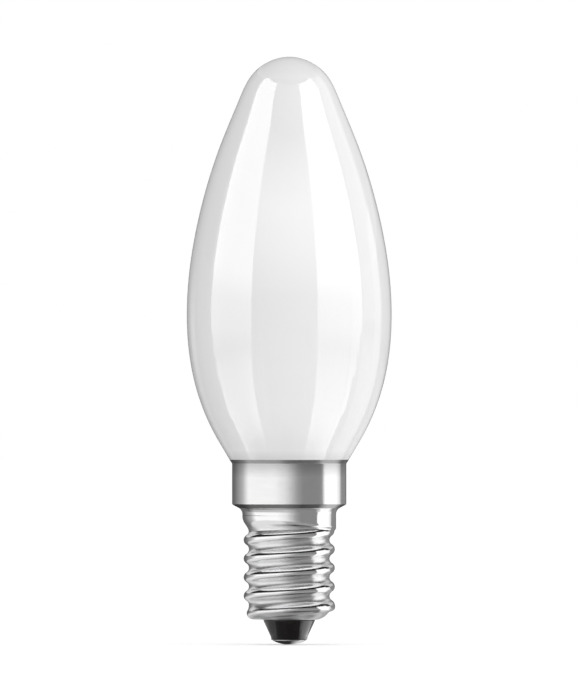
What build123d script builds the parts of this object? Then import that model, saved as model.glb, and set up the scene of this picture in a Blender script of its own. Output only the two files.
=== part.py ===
from build123d import *
import os
from math import asin, atan2, cos, degrees, pi, radians, sin, tan

# A candle bulb: a white glass bulb in an E14 screw cap, in millimetres.
# The origin is the lowest point of the centre contact, and +Z runs up the axis to the tip of the glass.
# Outlines are (half width, height) points.

# Glass bulb, from the rim of the cap up to the tip
rim_height = 28.0
glass_foot = (9.03, rim_height)
glass_flare = (11.3, 31.9)
glass_hip = (14.0, 38.5)
glass_belly = (15.5, 49.9)
glass_flank = (13.74, 64.5)
glass_taper = (10.65, 75.0)
glass_shoulder = (7.56, 82.6)
glass_crown = (5.35, 86.6)
glass_tip = (0, 89.0)
foot_slope = 60             # degrees above the level, where the glass leaves the cap
neck_gap = 0.05             # between the glass neck and the collar around it
neck_end_height = 22.4
neck_end_round = 1.2

# Screw cap: one sheet of metal, drawn, flared and rolled
wall = 0.3
lip_radius = 9.04
lip_foot_height = 27.4
collar_radius = 8.65
collar_foot_height = 21.35
plain_radius = 7.09         # the plain band between the shoulder and the thread
plain_top_height = 20.55
plain_foot_height = 18.1
root_top_height = 16.9      # where the last root climbs to the plain band
shell_foot_height = 3.75
shell_hole_radius = 2.9     # the turned-in edge that the insulator grips
lip_round = 0.25
collar_round = 0.4
shoulder_round = 0.9
plain_round = 0.5
foot_round = 2.6

# Thread: right-handed, with crests and roots of one radius
pitch = 2.822
crest_radius = 6.9
thread_round = 0.822
crest_height = 14.43        # a crest that faces +X
turns_below = 5
turns_above = 2.4
core_top_height = 19.4      # top of the threaded core, inside the plain band
root_lift = 0.012           # how far the core stands above the deepest line of the root
ridge_sink = 0.25           # how far the ridge reaches into the core
band_sink = 0.6             # how far the plain band's foot reaches into the core
ridge_end_angle = 4         # degrees of the root's arc that the ridge leaves to the core
end_round = 3.63            # the rounded end that the last turn runs out on
end_flat_radius = 4.0
end_shift = 0.4             # the rounded end leans to the side where the last turn stops

# Insulator: a tapered body with a groove for the shell's edge
insulator_top_radius = 3.96
insulator_edge = (2.78, 1.2)
insulator_foot = (2.72, 0.72)
insulator_round = 0.12
flange_radius = 3.45
flange_top_height = 5.2

# Centre contact: a domed eyelet on a stem
contact_radius = 2.52
dome_height = 0.62
stem_radius = 0.9
stem_top_height = 2.6

# Worked out from the above
flank_angle = asin(pitch / 4 / thread_round)
root_radius = crest_radius - 2 * thread_round * (1 - cos(flank_angle))
thread_start = crest_height - turns_below * pitch
dome_radius = (contact_radius**2 + dome_height**2) / (2 * dome_height)


def slope(low, high):
    """Angle above the level of the line between two points of an outline."""
    return atan2(high[1] - low[1], high[0] - low[0])


def inside(corner, angle, inset):
    """A corner between an upright and a slanted wall, moved to the wall's inner face."""
    return corner[0] - inset, corner[1] + inset * tan(pi / 4 - angle / 2)


def ridge_section(inset):
    """One turn's section: a round crest between two round flanks, drawn inside by the inset."""
    crest = thread_round - inset
    root = thread_round + inset
    crest_centre = crest_radius - thread_round
    root_centre = root_radius + thread_round

    def on_root(angle):
        return root_centre - root * cos(angle), pitch / 2 - root * sin(angle)

    flank = (crest_centre + crest * cos(flank_angle), crest * sin(flank_angle))
    low = on_root(radians(ridge_end_angle))
    middle = on_root(flank_angle / 2)
    base = root_radius - inset - ridge_sink
    with BuildSketch(Plane.XZ.shift_origin((0, 0, thread_start))) as section:
        with BuildLine():
            ThreePointArc((flank[0], -flank[1]), (crest_centre + crest, 0), flank)
            ThreePointArc(flank, middle, low)
            Polyline(low, (base, low[1]), (base, -low[1]), (low[0], -low[1]))
            ThreePointArc((low[0], -low[1]), (middle[0], -middle[1]), (flank[0], -flank[1]))
        make_face()
    return section.sketch


def threaded_core(inset):
    """The thread's core with its ridge, from the rounded end to a flat top inside the plain band."""
    ridge = ridge_section(inset)
    foot = shell_foot_height + inset
    core = root_radius - inset + root_lift
    with BuildPart() as thread:
        with BuildLine() as helix:
            Helix(pitch, (turns_below + turns_above) * pitch, crest_radius, center=(0, 0, thread_start))
        sweep(ridge, path=helix.line, is_frenet=True)
        # Only what the rounded end and the flat top hold is kept of the ridge
        with BuildSketch(Plane.XZ.shift_origin((-end_shift, 0, 0))):
            with BuildLine():
                Line((0, foot), (end_flat_radius, foot))
                end = JernArc((end_flat_radius, foot), (1, 0), end_round - inset, 90)
                Polyline(end @ 1, ((end @ 1).X, core_top_height), (0, core_top_height), (0, foot))
            make_face()
        revolve(axis=Axis((-end_shift, 0, 0), (0, 0, 1)), mode=Mode.INTERSECT)
        with BuildSketch(Plane.XZ):
            with BuildLine():
                FilletPolyline(
                    (0, foot),
                    (core, foot),
                    (core, core_top_height),
                    (0, core_top_height),
                    radius=(foot_round - inset, 0),
                )
                Line((0, core_top_height), (0, foot))
            make_face()
        revolve(axis=Axis.Z)
    return thread.part


def cap_form(inset):
    """The outside of the cap, or with an inset of one wall, the hollow inside it."""
    thread = threaded_core(inset)
    core = root_radius - inset + root_lift
    climb = slope((root_radius, root_top_height), (plain_radius, plain_foot_height))
    shoulder = slope((plain_radius, plain_top_height), (collar_radius, collar_foot_height))
    flare = slope((collar_radius, lip_foot_height), (lip_radius, rim_height))
    band_foot = inside((core + inset, root_top_height), climb, inset)[1] - band_sink * tan(climb)
    with BuildPart() as form:
        add(thread)
        with BuildSketch(Plane.XZ):
            with BuildLine():
                outline = FilletPolyline(
                    (0, band_foot),
                    (core - band_sink, band_foot),
                    inside((plain_radius, plain_foot_height), climb, inset),
                    inside((plain_radius, plain_top_height), shoulder, inset),
                    inside((collar_radius, collar_foot_height), shoulder, inset),
                    inside((collar_radius, lip_foot_height), flare, inset),
                    (lip_radius - inset / sin(flare), rim_height),
                    radius=(0, plain_round, shoulder_round, collar_round, lip_round),
                )
                Polyline(outline @ 1, (0, rim_height), (0, band_foot))
            make_face()
        revolve(axis=Axis.Z)
    return form.part


os.makedirs("parts", exist_ok=True)

# The glass stands on the rim of the cap, and its neck goes down inside the collar
with BuildPart() as glass_bulb:
    neck_radius = collar_radius - wall - neck_gap
    with BuildSketch(Plane.XZ):
        with BuildLine():
            Spline(
                glass_foot,
                glass_flare,
                glass_hip,
                glass_belly,
                glass_flank,
                glass_taper,
                glass_shoulder,
                glass_crown,
                glass_tip,
                tangents=((cos(radians(foot_slope)), sin(radians(foot_slope))), (-1, 0)),
            )
            FilletPolyline(
                glass_tip,
                (0, neck_end_height),
                (neck_radius, neck_end_height),
                (neck_radius, rim_height),
                glass_foot,
                radius=(0, neck_end_round, 0),
            )
        make_face()
    revolve(axis=Axis.Z)
glass_bulb.part.label = "glass_bulb"
export_step(glass_bulb.part, "parts/glass_bulb.step")

# The shell is one thin wall from its lip to its turned-in edge
cap_outside = cap_form(0)
cap_hollow = cap_form(wall)
with BuildPart() as screw_shell:
    add(cap_outside)
    add(cap_hollow, mode=Mode.SUBTRACT)
    with BuildSketch(Plane.XY.offset(shell_foot_height)):
        Circle(shell_hole_radius)
    extrude(amount=wall, mode=Mode.SUBTRACT)
screw_shell.part.label = "screw_shell"
export_step(screw_shell.part, "parts/screw_shell.step")

# The insulator grips the shell's edge in a groove, and has a bore for the contact's stem
with BuildPart() as insulator:
    with BuildSketch(Plane.XZ):
        with BuildLine():
            FilletPolyline(
                (stem_radius, insulator_foot[1]),
                insulator_foot,
                insulator_edge,
                (insulator_top_radius, shell_foot_height),
                (shell_hole_radius, shell_foot_height),
                (shell_hole_radius, shell_foot_height + wall),
                (flange_radius, shell_foot_height + wall),
                (flange_radius, flange_top_height),
                (stem_radius, flange_top_height),
                radius=(insulator_round, insulator_round, insulator_round, 0, 0, 0, 0),
            )
            Line((stem_radius, flange_top_height), (stem_radius, insulator_foot[1]))
        make_face()
    revolve(axis=Axis.Z)
insulator.part.label = "insulator"
export_step(insulator.part, "parts/insulator.step")

# The contact's dome is the lowest point of the bulb
with BuildPart() as centre_contact:
    with BuildSketch(Plane.XZ):
        with BuildLine():
            dome = JernArc((0, 0), (1, 0), dome_radius, degrees(asin(contact_radius / dome_radius)))
            Polyline(
                dome @ 1,
                (contact_radius, insulator_foot[1]),
                (stem_radius, insulator_foot[1]),
                (stem_radius, stem_top_height),
                (0, stem_top_height),
                (0, 0),
            )
        make_face()
    revolve(axis=Axis.Z)
centre_contact.part.label = "centre_contact"
export_step(centre_contact.part, "parts/centre_contact.step")
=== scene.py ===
from math import asin, cos, pi, radians, sin, tan

import bmesh
import bpy
import numpy as np
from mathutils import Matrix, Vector


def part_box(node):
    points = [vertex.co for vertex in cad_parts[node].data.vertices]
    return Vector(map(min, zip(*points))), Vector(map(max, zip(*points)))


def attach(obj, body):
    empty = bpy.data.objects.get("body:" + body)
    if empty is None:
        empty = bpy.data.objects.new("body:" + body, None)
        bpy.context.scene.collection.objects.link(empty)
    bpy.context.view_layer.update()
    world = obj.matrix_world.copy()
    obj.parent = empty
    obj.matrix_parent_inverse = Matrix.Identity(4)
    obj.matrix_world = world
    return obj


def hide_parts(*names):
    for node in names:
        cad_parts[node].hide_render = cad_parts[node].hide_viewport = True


# Looks of the candle bulb: a white glass bulb in an E14 screw cap.
# Outlines are (half width, height) points in millimetres, in the frame of the CAD.
# Azimuths are in degrees, seen from above: 0 faces the camera, +90 is the camera's right.

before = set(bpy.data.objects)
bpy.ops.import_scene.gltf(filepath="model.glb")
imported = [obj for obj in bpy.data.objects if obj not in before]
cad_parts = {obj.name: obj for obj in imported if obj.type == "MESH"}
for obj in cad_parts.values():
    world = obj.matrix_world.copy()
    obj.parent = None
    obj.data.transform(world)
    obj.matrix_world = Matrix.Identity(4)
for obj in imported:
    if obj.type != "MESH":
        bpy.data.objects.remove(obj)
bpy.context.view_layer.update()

MM = 0.001
SEGMENTS = 192               # round every turned piece
SAME_PLACE = 0.0005          # points closer than this become one
SHARP_EDGE = radians(40)     # edges that turn by more than this stay sharp

# Glass bulb
rim_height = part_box("screw_shell")[1].z / MM
glass_top_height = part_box("glass_bulb")[1].z / MM
glass_outline = (
    (9.03, rim_height),
    (11.3, 31.9),
    (14.0, 38.5),
    (15.5, 49.9),
    (13.74, 64.5),
    (10.65, 75.0),
    (7.56, 82.6),
    (5.35, 86.6),
    (0, glass_top_height),
)
glass_foot_slope = radians(60)
glass_steps = 24             # rows between two points of the outline
neck_radius = 8.3
neck_end_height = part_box("glass_bulb")[0].z / MM
neck_end_round = 1.2

# Screw shell: one wall from the lip to the turned-in edge
wall = 0.3
shell_foot_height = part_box("screw_shell")[0].z / MM
shell_hole_radius = 2.9
lip_radius = 9.04
lip_foot_height = 27.4
lip_round = 0.25
collar_radius = 8.65
collar_foot_height = 21.21
collar_round = 0.35
plain_radius = 7.09          # the plain band between the shoulder and the thread
plain_top_height = 20.41
shoulder_round = 1.1
shoulder_lead = 0.75         # from the plain band's top down to a row that keeps its shading upright
collar_steps = 12            # rows on each of these roundings
foot_flat_radius = 3.9       # where the rounded end starts to rise
foot_top_height = 6.2        # where it reaches the thread's root
foot_fullness = 1.7          # 2 is round, 1 is a straight cone
foot_swell = (0.35, 0.15)    # how much further the rounded end stands out at +X and at -X, halfway up
foot_steps = 60

# Thread: right-handed, with crests and roots of one radius
pitch = 2.822
crest_radius = 6.9
thread_round = 0.822
crest_height = 14.43         # a crest that faces +X
ridge_end = -7.0 * pi        # the lowest turn's last angle at full height, from the crest at +X
ridge_fade = 0.7 * pi        # the angle over which it fades from there
run_out = 1.8 * pi           # the top turn's last angle at full height
run_out_fade = 1.1 * pi
climb_foot = (17.2, 0.25)    # where the climb to the plain band starts: mean height, and how far it dips
climb_top = (18.15, 0.8)     # where it ends, in the same way
climb_turn = radians(30)     # how far behind +X it dips the most
climb_blend = 0.4            # how softly it meets the thread and the plain band
row_height = 0.065           # between rows of the threaded part
flank_angle = asin(pitch / 4 / thread_round)
thread_depth = 2 * thread_round * (1 - cos(flank_angle))
root_radius = crest_radius - thread_depth

# Insulator and centre contact
stem_radius = 0.9
stem_top_height = 2.6
contact_radius = 2.52
contact_top_height = 0.72    # where it meets the insulator's foot
dome_height = 0.62
dome_steps = 16
insulator_round = 0.12
flange_radius = 3.45
flange_top_height = 5.2
insulator_outline = (
    (stem_radius, contact_top_height, 0),
    (2.72, contact_top_height, insulator_round),
    (2.78, 1.2, insulator_round),
    (3.96, shell_foot_height, insulator_round),
    (shell_hole_radius, shell_foot_height, 0),
    (shell_hole_radius, shell_foot_height + wall, 0),
    (flange_radius, shell_foot_height + wall, 0),
    (flange_radius, flange_top_height, 0),
    (stem_radius, flange_top_height, 0),
)

# Where the finishes and the painted shade change
foot_shade_reach = 1.4        # how far up from the rim the glass is painted darker, as the cap's shade
rim_shade_start_height = 25.3     # from here up to the rim the collar is painted darker, as shade under the lip
lip_shade_fade = 0.15              # the lip's painted shade sets in over this height
scuff_reach = 0.12           # how far in from the crests the thread is scuffed


def curve(points, start, end, steps):
    """A smooth curve through the points that leaves along start and arrives along end."""
    points = np.array(points, float)
    chord = np.linalg.norm(np.diff(points, axis=0), axis=1)
    rise = np.diff(points, axis=0) / chord[:, None]
    count = len(points)
    system = np.eye(count)
    wanted = np.zeros((count, 2))
    wanted[0], wanted[-1] = start, end
    for i in range(1, count - 1):
        before, after = chord[i - 1], chord[i]
        system[i, i - 1:i + 2] = after, 2 * (before + after), before
        wanted[i] = 3 * (after * rise[i - 1] + before * rise[i])
    tangent = np.linalg.solve(system, wanted)
    made = []
    for i in range(count - 1):
        for t in np.arange(steps) / steps:
            ahead = t * t * (3 - 2 * t)
            made.append(
                points[i] * (1 - ahead)
                + points[i + 1] * ahead
                + chord[i] * (tangent[i] * t * (1 - t) ** 2 - tangent[i + 1] * t * t * (1 - t))
            )
    return made + [points[-1]]


def rounded(corners, steps=8):
    """The outline through (half width, height, rounding) corners, each rounded by an arc."""
    made = [Vector(corners[0][:2])]
    for before, corner, after in zip(corners, corners[1:], corners[2:]):
        here = Vector(corner[:2])
        back = (Vector(before[:2]) - here).normalized()
        on = (Vector(after[:2]) - here).normalized()
        half = back.angle(on) / 2
        if corner[2] == 0:
            made.append(here)
            continue
        centre = here + (back + on).normalized() * (corner[2] / sin(half))
        first = here + back * (corner[2] / tan(half)) - centre
        last = here + on * (corner[2] / tan(half)) - centre
        turn = first.angle_signed(last)
        for step in range(steps + 1):
            angle = -turn * step / steps
            made.append(centre + Vector((
                first.x * cos(angle) - first.y * sin(angle),
                first.x * sin(angle) + first.y * cos(angle),
            )))
    return made + [Vector(corners[-1][:2])]


def angles():
    """The angles of a ring's points."""
    return np.arange(SEGMENTS) * 2 * pi / SEGMENTS


def ring(radius, height):
    """A ring of points round the Z axis. The radius and the height may differ from angle to angle."""
    angle = angles()
    return np.stack([radius * np.cos(angle), radius * np.sin(angle), height + 0 * angle], axis=1)


def turned(outline):
    """Rings of points, one for each point of the outline."""
    return np.array([ring(radius, height) for radius, height in outline])


def skin(name, rings, loop):
    """A closed mesh over the rings.

    A loop joins the last ring to the first. Otherwise both ends meet the axis.
    """
    rows, around = rings.shape[:2]
    row = np.arange(rows if loop else rows - 1)[:, None]
    step = np.arange(around)[None, :]
    above, beside = (row + 1) % rows, (step + 1) % around
    quads = np.stack([
        row * around + step,
        row * around + beside,
        above * around + beside,
        above * around + step,
    ], axis=2)
    mesh = bpy.data.meshes.new(name)
    mesh.from_pydata((rings.reshape(-1, 3) * MM).tolist(), [], quads.reshape(-1, 4).tolist())
    work = bmesh.new()
    work.from_mesh(mesh)
    bmesh.ops.remove_doubles(work, verts=work.verts, dist=SAME_PLACE * MM)
    bmesh.ops.recalc_face_normals(work, faces=work.faces)
    work.to_mesh(mesh)
    work.free()
    mesh.polygons.foreach_set("use_smooth", [True] * len(mesh.polygons))
    mesh.set_sharp_from_angle(angle=SHARP_EDGE)
    return mesh


def piece(name, mesh, material, node):
    """A piece of the bulb that stands for a CAD node."""
    made = bpy.data.objects.new(name, mesh)
    bpy.context.scene.collection.objects.link(made)
    mesh.materials.append(material)
    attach(made, "root")
    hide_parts(node)
    return made


def smooth(value):
    """0 below 0, 1 above 1, and an S-curve between."""
    t = np.clip(value, 0, 1)
    return t * t * (3 - 2 * t)


def larger(first, second, blend):
    """The larger of two values, rounded over where they are about the same."""
    near = np.maximum(blend - np.abs(first - second), 0)
    return np.maximum(first, second) + near**2 / (4 * blend)


def ridge(angle, height):
    """How far the thread's ridge stands out from its root, at each angle and at one height."""
    turns = (height - crest_height) / pitch - angle / (2 * pi)
    nearest = np.round(turns)
    away = np.abs(turns - nearest) * pitch
    crest = thread_depth - thread_round + np.sqrt(np.maximum(thread_round**2 - away**2, 0))
    root = thread_round - np.sqrt(np.maximum(thread_round**2 - (pitch / 2 - away) ** 2, 0))
    along = angle + 2 * pi * nearest
    kept = smooth((along - ridge_end) / ridge_fade + 1) * smooth((run_out - along) / run_out_fade + 1)
    return np.where(away < pitch / 4, crest, root) * kept


def foot_rings():
    """Rings of the shell's turned-in edge and of its rounded end, where the last turn fades out."""
    angle = angles()
    flat_middle = (shell_hole_radius + foot_flat_radius) / 2
    rings = [ring(radius, shell_foot_height) for radius in (shell_hole_radius, flat_middle)]
    turn = np.linspace(pi / 2, 0, foot_steps)
    power = 2 / foot_fullness
    end = np.stack([
        foot_flat_radius + (root_radius - foot_flat_radius) * np.abs(np.cos(turn)) ** power,
        foot_top_height - (foot_top_height - shell_foot_height) * np.sin(turn) ** power,
    ], axis=1)
    step = np.gradient(end, axis=0)
    step /= np.linalg.norm(step, axis=1, keepdims=True)
    below_top = np.cumsum(np.linalg.norm(np.diff(end[::-1], axis=0), axis=1))[::-1]
    for (radius, height), (across, up), run, t in zip(end[:-1], step, below_top, turn):
        stand = ridge(angle, foot_top_height - run)
        swell = np.where(np.cos(angle) > 0, *foot_swell) * np.cos(angle) ** 2 * sin(2 * t)
        lowered = np.maximum(height - stand * across, shell_foot_height)
        rings.append(ring(radius + stand * up + swell, lowered))
    return rings


def shell_rings():
    """Rings of the shell's outer skin, from the turned-in edge up to the lip."""
    rings = foot_rings()

    # Thread, run out into the plain band
    angle = angles()
    low, high = (mean - dip * np.cos(angle - climb_turn) for mean, dip in (climb_foot, climb_top))
    plain_start = high.max() + climb_blend
    for height in np.arange(foot_top_height, plain_start, row_height):
        climb = root_radius + (plain_radius - root_radius) * (height - low) / (high - low)
        band = -larger(-climb, -plain_radius, climb_blend)
        rings.append(ring(larger(band, root_radius + ridge(angle, height), climb_blend), height))

    # Plain band, shoulder, collar and lip
    collar = rounded((
        (plain_radius, plain_start, 0),
        (plain_radius, plain_top_height - shoulder_lead, 0),
        (plain_radius, plain_top_height, shoulder_round),
        (collar_radius, collar_foot_height, collar_round),
        (collar_radius, lip_foot_height, lip_round),
        (lip_radius, rim_height, 0),
    ), steps=collar_steps)
    return np.concatenate([rings, turned(collar)])


def with_wall(rings):
    """The rings of the outer skin, then every second one again inside the wall, back down to the foot."""
    along = np.gradient(rings, axis=0)
    around = np.roll(rings, -1, axis=1) - np.roll(rings, 1, axis=1)
    out = np.cross(around, along)
    out /= np.linalg.norm(out, axis=2, keepdims=True)
    inner = rings - wall * out
    inner[:, :, 2] = np.minimum(inner[:, :, 2], rim_height)
    kept = np.unique(np.append(np.arange(0, len(rings), 2), len(rings) - 1))
    return np.concatenate([rings, inner[kept][::-1]])


class Finish:
    """A node-based material: its tree, its Principled shader, and short ways to add nodes."""

    def __init__(self, name):
        self.material = bpy.data.materials.new(name)
        self.material.use_nodes = True
        self.tree = self.material.node_tree
        self.shader = self.tree.nodes["Principled BSDF"]

    def add(self, kind, **settings):
        node = self.tree.nodes.new("ShaderNode" + kind)
        for key, value in settings.items():
            if key in node.inputs:
                node.inputs[key].default_value = value
            else:
                setattr(node, key, value)
        return node

    def link(self, source, target):
        self.tree.links.new(source, target)

    def place(self, scale):
        """The point on the object, stretched by a scale along each axis."""
        where = self.add("TexCoord")
        mapping = self.add("Mapping", Scale=scale)
        self.link(where.outputs["Object"], mapping.inputs["Vector"])
        return mapping.outputs["Vector"]

    def noise(self, cells, detail=3.0):
        """Noise with so many cells to a metre along each axis."""
        node = self.add("TexNoise", Detail=detail, Scale=1.0)
        self.link(self.place(cells), node.inputs["Vector"])
        return node.outputs["Fac"]

    def spread(self, value, low, high, start=0.0, end=1.0):
        """The value, mapped from start and end to low and high."""
        node = self.add("MapRange")
        for key, number in (("From Min", start), ("From Max", end), ("To Min", low), ("To Max", high)):
            node.inputs[key].default_value = number
        self.link(value, node.inputs["Value"])
        return node.outputs["Result"]

    def between(self, value, start, end, low=0.0, high=1.0):
        """A length in metres, mapped from start and end in millimetres to low and high."""
        return self.spread(value, low, high, start * MM, end * MM)

    def height(self):
        """Height on the object, in metres."""
        where = self.add("TexCoord")
        split = self.add("SeparateXYZ")
        self.link(where.outputs["Object"], split.inputs["Vector"])
        return split.outputs["Z"]

    def radius(self):
        """Distance from the Z axis, in metres."""
        node = self.add("VectorMath", operation="LENGTH")
        self.link(self.place((1, 1, 0)), node.inputs["Vector"])
        return node.outputs["Value"]

    def shade(self, value, first, second, over=None):
        """The shader's colour, from the first to the second by a value.

        A (value, colour) that comes over it is mixed in by its own value.
        """
        ramp = self.add("ValToRGB")
        ramp.color_ramp.elements[0].color = (*first, 1)
        ramp.color_ramp.elements[1].color = (*second, 1)
        self.link(value, ramp.inputs["Fac"])
        made = ramp.outputs["Color"]
        if over:
            mix = self.add("MixRGB", Color2=(*over[1], 1))
            self.link(over[0], mix.inputs["Fac"])
            self.link(made, mix.inputs["Color1"])
            made = mix.outputs["Color"]
        self.link(made, self.shader.inputs["Base Color"])

    def rough(self, value, low, high):
        """The shader's roughness, from low to high by a value."""
        self.link(self.spread(value, low, high), self.shader.inputs["Roughness"])

    def joined(self, operation, first, second):
        node = self.add("Math", operation=operation)
        self.link(first, node.inputs[0])
        self.link(second, node.inputs[1])
        return node.outputs["Value"]

    def times(self, first, second):
        return self.joined("MULTIPLY", first, second)

    def plus(self, first, second):
        return self.joined("ADD", first, second)

    def bump(self, value, strength, depth):
        """Bumps of a depth in millimetres."""
        node = self.add("Bump", Strength=strength, Distance=depth * MM)
        self.link(value, node.inputs["Height"])
        self.link(node.outputs["Normal"], self.shader.inputs["Normal"])

    def set(self, **values):
        for key, value in values.items():
            self.shader.inputs[key.replace("_", " ")].default_value = value


def grey(level):
    """A colour without a tint."""
    return level, level, level


def opal_glass():
    """White-coated glass under a clear gloss, with the faint cloudiness of the coating and a painted
    shade that darkens its foot next to the cap.
    """
    made = Finish("opal_glass")
    cloud = made.noise(cells=(90, 90, 60), detail=4.0)
    # painted shade: the glass is darker at its foot, next to the cap
    painted_foot_shade = made.between(made.height(), rim_height, rim_height + foot_shade_reach, low=1.0, high=0.0)
    made.shade(cloud, grey(0.885), grey(0.915), over=(painted_foot_shade, grey(0.76)))
    made.rough(made.noise(cells=(400, 400, 300)), low=0.04, high=0.07)
    made.set(IOR=1.5)
    return made.material


def plated_metal():
    """Bright nickel plate: the collar brushed round, the thread rolled smooth with scuffed crests.
    Painted shade makes the collar darker towards its rim and the lip darker still.
    """
    made = Finish("plated_metal")
    height = made.height()
    radius = made.radius()
    on_collar = made.between(height, plain_top_height, collar_foot_height)
    below_collar = made.spread(on_collar, 1.0, 0.0)
    on_crest = made.times(made.between(radius, crest_radius - scuff_reach, crest_radius), below_collar)
    lines = made.times(made.noise(cells=(300, 300, 16000), detail=5.0), on_collar)
    scuffs = made.times(made.noise(cells=(1800, 1800, 2600), detail=4.0), on_crest)
    # painted shade: the collar is darker towards its rim, under the lip
    painted_rim_shade = made.between(height, rim_shade_start_height, rim_height)
    # painted shade: the lip, which faces down, is darker still than the collar
    painted_lip_shade = made.between(height, lip_foot_height, lip_foot_height + lip_shade_fade)
    made.shade(painted_rim_shade, (0.91, 0.91, 0.915), (0.46, 0.46, 0.464), over=(painted_lip_shade, (0.37, 0.37, 0.373)))
    in_root = made.between(radius, root_radius, crest_radius, low=1.0, high=0.0)
    made.rough(made.plus(lines, in_root), low=0.1, high=0.32)
    made.bump(made.plus(lines, scuffs), strength=0.25, depth=0.02)
    tangent = made.add("Tangent", direction_type="RADIAL", axis="Z")
    made.link(tangent.outputs["Tangent"], made.shader.inputs["Tangent"])
    made.set(Metallic=1.0, Anisotropic=0.8, Anisotropic_Rotation=0.25)
    return made.material


def black_insulator():
    """Black glassy insulation, with faint flow lines."""
    made = Finish("black_insulator")
    flow = made.noise(cells=(900, 900, 2500))
    made.shade(flow, (0.011, 0.0095, 0.0095), (0.019, 0.0165, 0.0165))
    made.rough(flow, low=0.1, high=0.2)
    made.bump(flow, strength=0.05, depth=0.05)
    made.set(IOR=1.52)
    return made.material


def contact_metal():
    """Pressed contact metal with fine scratches."""
    made = Finish("contact_metal")
    grain = made.noise(cells=(2500, 2500, 2500), detail=5.0)
    made.shade(grain, grey(0.62), (0.84, 0.84, 0.83))
    made.rough(grain, low=0.14, high=0.3)
    made.bump(grain, strength=0.08, depth=0.03)
    made.set(Metallic=1.0)
    return made.material


def glass_mesh():
    """The bulb's outside and the neck that goes down inside the collar."""
    outer = curve(
        glass_outline,
        start=(cos(glass_foot_slope), sin(glass_foot_slope)),
        end=(-1, 0),
        steps=glass_steps,
    )
    neck = rounded((
        (0, neck_end_height, 0),
        (neck_radius, neck_end_height, neck_end_round),
        (neck_radius, rim_height, 0),
        (*glass_outline[0], 0),
    ))
    return skin("glass_bulb_skin", turned(neck[:-1] + outer), loop=False)


def contact_mesh():
    """A dome that is the bulb's lowest point, on a stem."""
    dome_radius = (contact_radius**2 + dome_height**2) / (2 * dome_height)
    dome_angle = asin(contact_radius / dome_radius)
    dome = [
        (dome_radius * sin(a), dome_radius * (1 - cos(a))) for a in np.linspace(0, dome_angle, dome_steps)
    ]
    stem = [
        (contact_radius, contact_top_height),
        (stem_radius, contact_top_height),
        (stem_radius, stem_top_height),
        (0, stem_top_height),
    ]
    return skin("centre_contact_skin", turned(dome + stem), loop=False)


def build_bulb():
    """Makes the four pieces, each in place of its CAD node, and gives them back by name."""
    glass = glass_mesh()
    shell = skin("screw_shell_skin", with_wall(shell_rings()), loop=True)
    body = skin("insulator_skin", turned(rounded(insulator_outline)), loop=True)
    contact = contact_mesh()
    return {
        "glass": piece("bulb_glass", glass, opal_glass(), "glass_bulb"),
        "shell": piece("bulb_shell", shell, plated_metal(), "screw_shell"),
        "insulator": piece("bulb_insulator", body, black_insulator(), "insulator"),
        "contact": piece("bulb_contact", contact, contact_metal(), "centre_contact"),
    }


# Studio
photo_width, photo_height = 577, 700
photo_scale = 0.1514         # millimetres to a pixel
photo_axis = 289.2           # the bulb's axis, pixels from the left
photo_foot = 644.6           # the bulb's lowest point, pixels from the top
camera_distance = 3000.0
camera_reach = 20000.0       # how far it sees
ambient = 0.79               # level of the white surroundings as a lamp
floor_half = 5000.0
floor_white = 0.92
floor_glow = 0.3             # what the floor adds where it is seen, to be as white as its surroundings
lamp_aim = 50.0              # the height that lamps are aimed at

# Cards that only reflections see. The (distance, height over the floor) of each kind keeps them apart.
flag_far, flag_low = 700.0, 0.3
fill_far, fill_low = 650.0, 0.6
box_far, box_low = 600.0, 1.0
card_step = 2                # degrees between the edges of a bent card, about

# Elevations in degrees, from the middle of the cap
cap_middle = 14.0            # its height
wall_top = 12
tall_top = 21
dark_top = 46
flag_top = 55

# Where the zones on the table end, by their distance
contact_start = 0.6
contact_reach = 3.2
insulator_side = 3.4         # where the lights beside the insulator start
inner_reach = 9.0
ring_reach = 14.5
outer_reach = 36.0

# Where the zones round the bulb end, by their azimuth
dark_left, dark_right = -125, 128
front_left, front_right = -30, 72    # the wall is darker between these
strip_left, strip_right = -43, 32    # the inner ends of the two soft boxes

# Rings under the collar, the table under the contact and the flags over the tip
shoulder_ring_height = 20.7
neck_ring_height = 19.5
neck_ring_split = 7.5        # where the two neck rings meet
contact_low = 0.01           # the height of the table under the contact
tip_flag_height = 150
tip_flag_reach = 40
tip_flag_level = 0.25
near_flag_height = glass_top_height + 0.4

# Levels of what the metal reflects: (azimuth, level) stops
wall_levels = (
    (-180, 0.12), (-145, 0.14), (-128, 0.26), (-108, 0.48), (-90, 1.06), (-30, 1.06),
    (-8, 0.86), (4, 0.6), (16, 0.36), (28, 0.26), (72, 0.26),
    (74, 1.2), (108, 1.2), (124, 0.8), (128, 0.26), (155, 0.26), (168, 0.1), (180, 0.1),
)
outer_levels = (
    (-180, 0.4), (-110, 0.8), (-25, 0.8),
    (-8, 0.42), (14, 0.34), (71, 0.34),
    (75, 1.1), (104, 1.1), (118, 0.4), (180, 0.4),
)
ring_levels = (
    (-180, 0.4), (-110, 0.5), (-40, 0.35),
    (-14, 0.25), (0, 0.12), (10, 0.04), (14, 0.04), (68, 0.15),
    (75, 0.7), (100, 0.6), (115, 0.35), (180, 0.5),
)
inner_levels = (
    (-180, 0.3), (-60, 0.25), (-40, 0.12),
    (-14, 0.08), (4, 0.03), (20, 0.03), (47, 0.08),
    (72, 0.2), (96, 0.55), (130, 0.55), (180, 0.3),
)
contact_levels = (
    (-180, 0.03), (5, 0.03), (30, 0.35), (60, 0.8), (100, 0.8), (130, 0.03), (180, 0.03),
)
shoulder_levels = (
    (-180, 0.03), (-60, 0.04), (-45, 0.12), (-5, 0.16),
    (14, 0.06), (34, 0.09),
    (46, 0.5), (60, 0.5), (72, 0.13), (84, 0.05), (180, 0.03),
)
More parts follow.
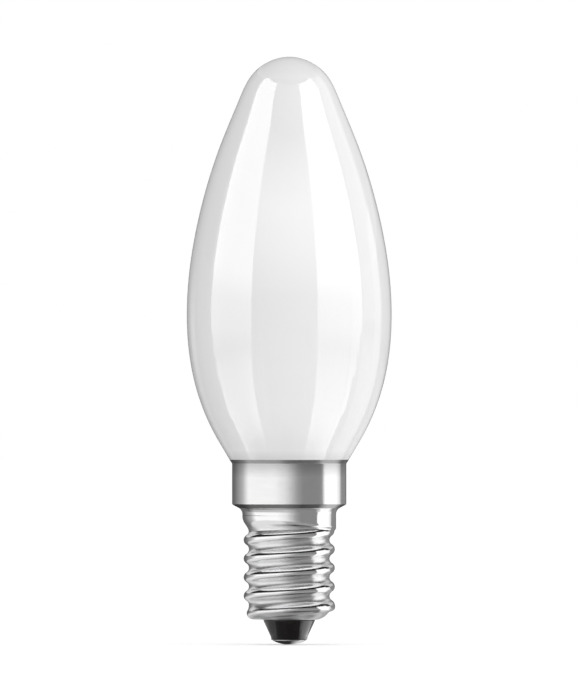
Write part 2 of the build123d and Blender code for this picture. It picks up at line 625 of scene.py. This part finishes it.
neck_inner_levels = (
    (-180, 0.05), (-67, 0.06), (-53, 0.17), (-42, 0.23), (-15, 0.36), (-4, 0.38),
    (4, 0.3), (12, 0.22), (36, 0.21),
    (43, 0.45), (48, 1.0), (68, 1.0), (77, 0.35), (180, 0.1),
)
neck_middle_levels = (
    (-180, 0.1), (-67, 0.16), (-60, 0.32), (-53, 0.5), (-42, 0.55), (-4, 0.58),
    (3, 0.45), (12, 0.26), (38, 0.26),
    (44, 0.7), (48, 1.1), (64, 1.1), (76, 0.25), (180, 0.1),
)
left_flag_levels = ((-180, 0.14), (-145, 0.16), (dark_left, 0.3))
right_flag_levels = ((dark_right, 0.6), (152, 0.6), (166, 0.2), (180, 0.14))


def even(first, last, level):
    """Stops of one level, from a first to a last azimuth."""
    return (first, level), (last, level)


def flat_at(height, *points):
    """A flat section at a height, through (distance, level) points."""
    return tuple((distance, height, level) for distance, level in points)


def upright_at(distance, *points):
    """An upright section at a distance, through (height, level) points."""
    return tuple((distance, height, level) for height, level in points)


def elevated(distance, elevation):
    """The height that is seen at a distance under an elevation from the middle of the cap."""
    return cap_middle + distance * tan(radians(elevation))


def upright_between(distance, low, high):
    """An upright section at a distance, between two elevations."""
    return upright_at(distance, (elevated(distance, low), 1), (elevated(distance, high), 1))


# For the metal: the light wall round the bulb, the dark and the flags above it, and the table under it
metal_cards = {
    "light_wall": (wall_levels, upright_at(flag_far, (flag_low, 1), (elevated(flag_far, wall_top), 1))),
    "dark_above": (even(dark_left, dark_right, 0.02), upright_between(flag_far, wall_top, dark_top)),
    "flag_left": (left_flag_levels, upright_between(flag_far, wall_top, flag_top)),
    "flag_right": (right_flag_levels, upright_between(flag_far, wall_top, flag_top)),
    "table_far": (wall_levels, flat_at(flag_low, (outer_reach, 1), (flag_far, 1))),
    "table_outer": (outer_levels, flat_at(flag_low, (ring_reach, 1), (outer_reach, 1))),
    "table_ring": (ring_levels, flat_at(flag_low, (inner_reach, 1), (ring_reach, 1))),
    "table_inner": (inner_levels, flat_at(flag_low, (contact_reach, 1), (inner_reach, 1))),
    "table_contact": (contact_levels, flat_at(contact_low, (contact_start, 1), (contact_reach, 1))),
}

# Rings that are only there from above, for the shoulder and the rounding under it
collar_rings = {
    "under_shoulder": (shoulder_levels, flat_at(shoulder_ring_height, (9.3, 1), (7.3, 1))),
    "neck_inner": (neck_inner_levels, flat_at(neck_ring_height, (neck_ring_split, 1), (7.15, 1))),
    "neck_middle": (neck_middle_levels, flat_at(neck_ring_height, (7.95, 1), (neck_ring_split, 1))),
}

# What the metal's cards take from the glass, given back to it
front_fill = [
    (azimuth, 1 - level) for azimuth, level in wall_levels if front_left <= azimuth <= front_right
]
glass_fills = {
    "fill_wall": (
        front_fill,
        flat_at(fill_low, (ring_reach, 0), (outer_reach, 1), (fill_far, 1))
        + upright_at(fill_far, (elevated(fill_far, wall_top), 1)),
    ),
    "fill_above": (
        ((dark_left, 0.28), (-103, 0.28), (-102, 0.98), (dark_right, 0.98)),
        upright_between(fill_far, wall_top, dark_top),
    ),
    "fill_right": (
        ((dark_right, 0.2), (152, 0.2), (165, 0)),
        flat_at(fill_low, (18, 0.5), (60, 1.6), (fill_far, 1)) + upright_at(fill_far, (150, 1), (200, 0)),
    ),
    "fill_corner": (
        ((120, 0), (140, 0.3), (180, 0.3)),
        flat_at(fill_low, (18, 0.5), (60, 1.6), (fill_far, 0)),
    ),
    "fill_flank": (
        even(90, dark_right, 0.8),
        flat_at(fill_low, (18, 0.5), (60, 1), (fill_far, 0)),
    ),
    "fill_table": (
        ((-60, 0), (-45, 1), (30, 1), (45, 0)),
        flat_at(fill_low, (24, 0), (34, 0.9), (50, 0.9), (90, 0.7), (200, 0.3), (fill_far, 0)),
    ),
}

# Two soft boxes make the glass's bright strips, in five parts each that end further in towards the bulb
box_wall = upright_at(box_far, (box_low, 2.4), (95, 2.8), (175, 4.8), (730, 4.8), (1300, 3.8))
box_table_far = flat_at(box_low, (240, 1.5), (box_far, 2.4))
box_table_middle = flat_at(box_low, (130, 2.4), (240, 1.5))
left_box_parts = {
    -98: box_wall,
    -96: box_table_far,
    -94: box_table_middle,
    -91.5: flat_at(box_low, (60, 2.8), (130, 2.4)),
    -89: flat_at(box_low, (28, 0), (32, 0.9), (38, 1.9), (48, 2.6), (60, 2.8)),
}
right_box_parts = {
    90: box_wall,
    87: box_table_far,
    84: box_table_middle,
    81: flat_at(box_low, (60, 3.4), (130, 2.4)),
    78: flat_at(box_low, (24, 0.4), (32, 2.8), (38, 3.4), (48, 3.8), (60, 3.4)),
}
soft_boxes = {
    f"soft_box_left_{-end}": (even(end, strip_left, 1.0), part) for end, part in left_box_parts.items()
} | {
    f"soft_box_right_{end}": (even(strip_right, end, 0.9), part) for end, part in right_box_parts.items()
}

# A softer light between the two boxes, and lights for the edges of the glass
edge_lights = {
    "flank_right": (even(92, 124, 0.85), upright_at(box_far, (40, 0.5), (250, 1), (600, 1), (800, 0))),
    "soft_box_front": (
        even(strip_left, strip_right, 1.0),
        upright_at(box_far, (110, 0), (245, 1.6), (365, 2.5), (490, 1.5), (650, 0)),
    ),
    "edge_right": (
        even(112, dark_right, 0.8),
        flat_at(box_low, (60, 0), (box_far, 0.8)) + upright_at(box_far, (200, 1)),
    ),
    "edge_left": (
        even(-148, -133, 0.4),
        flat_at(box_low, (12, 0.4), (60, 0.6), (box_far, 1)) + upright_at(box_far, (40, 1), (110, 0)),
    ),
}

# Dark flags over the tip, for the crown of the glass
tip_flags = {
    "tip_flag": (
        even(-180, 180, tip_flag_level),
        flat_at(tip_flag_height, (0.5, 1), (tip_flag_reach, 1)),
    ),
    "tip_flag_front": (
        even(-75, 75, tip_flag_level),
        flat_at(tip_flag_height, (tip_flag_reach, 1), (53, 1)),
    ),
    "tip_flag_near": (
        even(-180, 180, tip_flag_level),
        flat_at(near_flag_height, (0.05, 1), (5.5, 1), (8, 2.8)),
    ),
}

# Lights that only the shell shows
shell_lights = {
    "rim_light": (
        even(-180, dark_left, 0.5),
        upright_at(fill_far, (elevated(fill_far, wall_top), 1), (1000, 1)),
    ),
    "tall_light": (
        ((70, 0), (74, 1.1), (106, 1.1), (112, 0)),
        upright_between(fill_far, wall_top, tall_top),
    ),
    "foot_light": (even(-70, 60, 0.25), flat_at(fill_low, (insulator_side, 1), (inner_reach, 1))),
}

# Lights on both sides of the insulator, which only it shows
beside_insulator = flat_at(fill_low, (insulator_side, 1), (30, 1))
insulator_lights = {
    "insulator_left": (((-130, 0.1), (-100, 0.2), (-56, 0.5)), beside_insulator),
    "insulator_right": (((44, 2.2), (120, 1.8)), beside_insulator),
}


def seen_directly(tree):
    """1 for camera, glossy and transmission rays, which see the white background, and 0 for others."""
    path = tree.nodes.new("ShaderNodeLightPath")
    made = path.outputs["Is Camera Ray"]
    for name in ("Is Glossy Ray", "Is Transmission Ray"):
        either = tree.nodes.new("ShaderNodeMath")
        either.operation = "MAXIMUM"
        tree.links.new(made, either.inputs[0])
        tree.links.new(path.outputs[name], either.inputs[1])
        made = either.outputs["Value"]
    return made


def white_world():
    """White where it is seen, and a soft even light on the bulb."""
    world = bpy.data.worlds.new("white_surroundings")
    bpy.context.scene.world = world
    world.use_nodes = True
    tree = world.node_tree
    level = tree.nodes.new("ShaderNodeMapRange")
    level.inputs["To Min"].default_value = ambient
    tree.links.new(seen_directly(tree), level.inputs["Value"])
    background = tree.nodes["Background"]
    background.inputs["Color"].default_value = (*grey(1), 1)
    tree.links.new(level.outputs["Result"], background.inputs["Strength"])


def bare_material(name):
    """A material that has no shader yet, and its tree."""
    made = bpy.data.materials.new(name)
    made.use_nodes = True
    tree = made.node_tree
    tree.nodes.remove(tree.nodes["Principled BSDF"])
    return made, tree


def stage_object(name, vertices, faces, material):
    """A thing of the studio, which isn't part of the bulb."""
    mesh = bpy.data.meshes.new(name)
    mesh.from_pydata([tuple(np.array(v) * MM) for v in vertices], [], faces)
    mesh.materials.append(material)
    made = bpy.data.objects.new(name, mesh)
    bpy.context.scene.collection.objects.link(made)
    return made


def floor():
    """A pale floor that is white where it is seen and keeps the bulb's shadow."""
    made, tree = bare_material("pale_floor")
    matt = tree.nodes.new("ShaderNodeBsdfDiffuse")
    matt.inputs["Color"].default_value = (*grey(floor_white), 1)
    glow = tree.nodes.new("ShaderNodeEmission")
    level = tree.nodes.new("ShaderNodeMapRange")
    level.inputs["To Max"].default_value = floor_glow
    tree.links.new(seen_directly(tree), level.inputs["Value"])
    tree.links.new(level.outputs["Result"], glow.inputs["Strength"])
    both = tree.nodes.new("ShaderNodeAddShader")
    tree.links.new(matt.outputs["BSDF"], both.inputs[0])
    tree.links.new(glow.outputs["Emission"], both.inputs[1])
    tree.links.new(both.outputs["Shader"], tree.nodes["Material Output"].inputs["Surface"])
    corners = [(x * floor_half, y * floor_half, 0) for x, y in ((-1, -1), (1, -1), (1, 1), (-1, 1))]
    stage_object("floor", corners, [(0, 1, 2, 3)], made)


def on_circle(azimuth, radius, height):
    """A point of the studio by its azimuth from the camera's side."""
    return radius * sin(radians(azimuth)), -radius * cos(radians(azimuth)), height


def card_light(name, clear=False, one_sided=False):
    """A card's light, with the level that is stored in the card.

    A clear card adds to what is behind it. A one-sided card isn't there from below.
    """
    made, tree = bare_material(name)
    level = tree.nodes.new("ShaderNodeAttribute")
    level.attribute_name = "level"
    light = tree.nodes.new("ShaderNodeEmission")
    tree.links.new(level.outputs["Fac"], light.inputs["Strength"])
    surface = light.outputs["Emission"]
    if clear:
        see_through = tree.nodes.new("ShaderNodeBsdfTransparent")
        both = tree.nodes.new("ShaderNodeAddShader")
        tree.links.new(see_through.outputs["BSDF"], both.inputs[0])
        tree.links.new(surface, both.inputs[1])
        surface = both.outputs["Shader"]
    if one_sided:
        geometry = tree.nodes.new("ShaderNodeNewGeometry")
        see_through = tree.nodes.new("ShaderNodeBsdfTransparent")
        side = tree.nodes.new("ShaderNodeMixShader")
        tree.links.new(geometry.outputs["Backfacing"], side.inputs["Fac"])
        tree.links.new(surface, side.inputs[1])
        tree.links.new(see_through.outputs["BSDF"], side.inputs[2])
        surface = side.outputs["Shader"]
    tree.links.new(surface, tree.nodes["Material Output"].inputs["Surface"])
    return made


def card(name, azimuths, section, material, only_on=None):
    """A card bent round the bulb's axis, which only reflections see.

    It has (azimuth, level) stops and a section of (distance, height, level) points.
    Its level at each place is the product of the two levels there.
    With only_on, it shows only in the objects of that collection.
    """
    stops, levels = zip(*azimuths)
    steps = max(1, round((stops[-1] - stops[0]) / card_step))
    fan = np.union1d(np.linspace(stops[0], stops[-1], steps + 1), stops)
    fan_level = np.interp(fan, stops, levels)
    count = len(fan)
    vertices = [on_circle(azimuth, point[0], point[1]) for point in section for azimuth in fan]
    faces = [
        (row * count + i, row * count + i + 1, (row + 1) * count + i + 1, (row + 1) * count + i)
        for row in range(len(section) - 1)
        for i in range(count - 1)
    ]
    made = stage_object(name, vertices, faces, material)
    stored = made.data.attributes.new("level", "FLOAT", "POINT")
    stored.data.foreach_set("value", np.concatenate([fan_level * point[2] for point in section]))
    made.visible_camera = False
    made.visible_diffuse = False
    made.visible_shadow = False
    made.visible_transmission = False
    if only_on:
        made.light_linking.receiver_collection = only_on


def make_cards(described, material, only_on=None):
    """Makes the cards that a table describes by name, each by its stops and its section."""
    for name, (azimuths, section) in described.items():
        card(name, azimuths, section, material, only_on)


def reflections(pieces):
    """Cards round the bulb that shape what its glass, its metal and its insulator reflect."""
    def only(name):
        """A collection that holds one piece."""
        receivers = bpy.data.collections.new(name + "_only")
        receivers.objects.link(pieces[name])
        return receivers

    flag = card_light("flag")
    from_above = card_light("flag_from_above", one_sided=True)
    soft = card_light("soft_light", clear=True)
    make_cards(metal_cards, flag)
    make_cards(collar_rings, from_above)
    make_cards(glass_fills | soft_boxes | edge_lights, soft, only("glass"))
    make_cards(tip_flags, flag)
    make_cards(shell_lights, soft, only("shell"))
    make_cards(insulator_lights, soft, only("insulator"))


def lamp(name, azimuth, elevation, distance, size, power):
    """A soft lamp aimed at the widest part of the glass."""
    data = bpy.data.lights.new(name, "AREA")
    data.size = size * MM
    data.energy = power
    made = bpy.data.objects.new(name, data)
    target = Vector((0, 0, lamp_aim)) * MM
    away = distance * cos(radians(elevation))
    made.location = Vector(on_circle(azimuth, away, distance * sin(radians(elevation)))) * MM + target
    made.rotation_euler = (target - made.location).to_track_quat("-Z", "Y").to_euler()
    made.visible_glossy = False
    bpy.context.scene.collection.objects.link(made)


def camera():
    """A long lens, level, framed as the photograph."""
    data = bpy.data.cameras.new("camera")
    data.lens = data.sensor_width * camera_distance / (photo_height * photo_scale)
    data.clip_end = camera_reach * MM
    made = bpy.data.objects.new("camera", data)
    across = (photo_width / 2 - photo_axis) * photo_scale
    up = (photo_foot - photo_height / 2) * photo_scale
    made.location = Vector((across, -camera_distance, up)) * MM
    made.rotation_euler = (pi / 2, 0, 0)
    bpy.context.scene.collection.objects.link(made)
    bpy.context.scene.camera = made


bulb = build_bulb()
white_world()
floor()
reflections(bulb)
lamp("key_lamp", azimuth=48, elevation=12, distance=1200, size=800, power=2.8)
camera()
bpy.context.scene.view_settings.view_transform = "Standard"
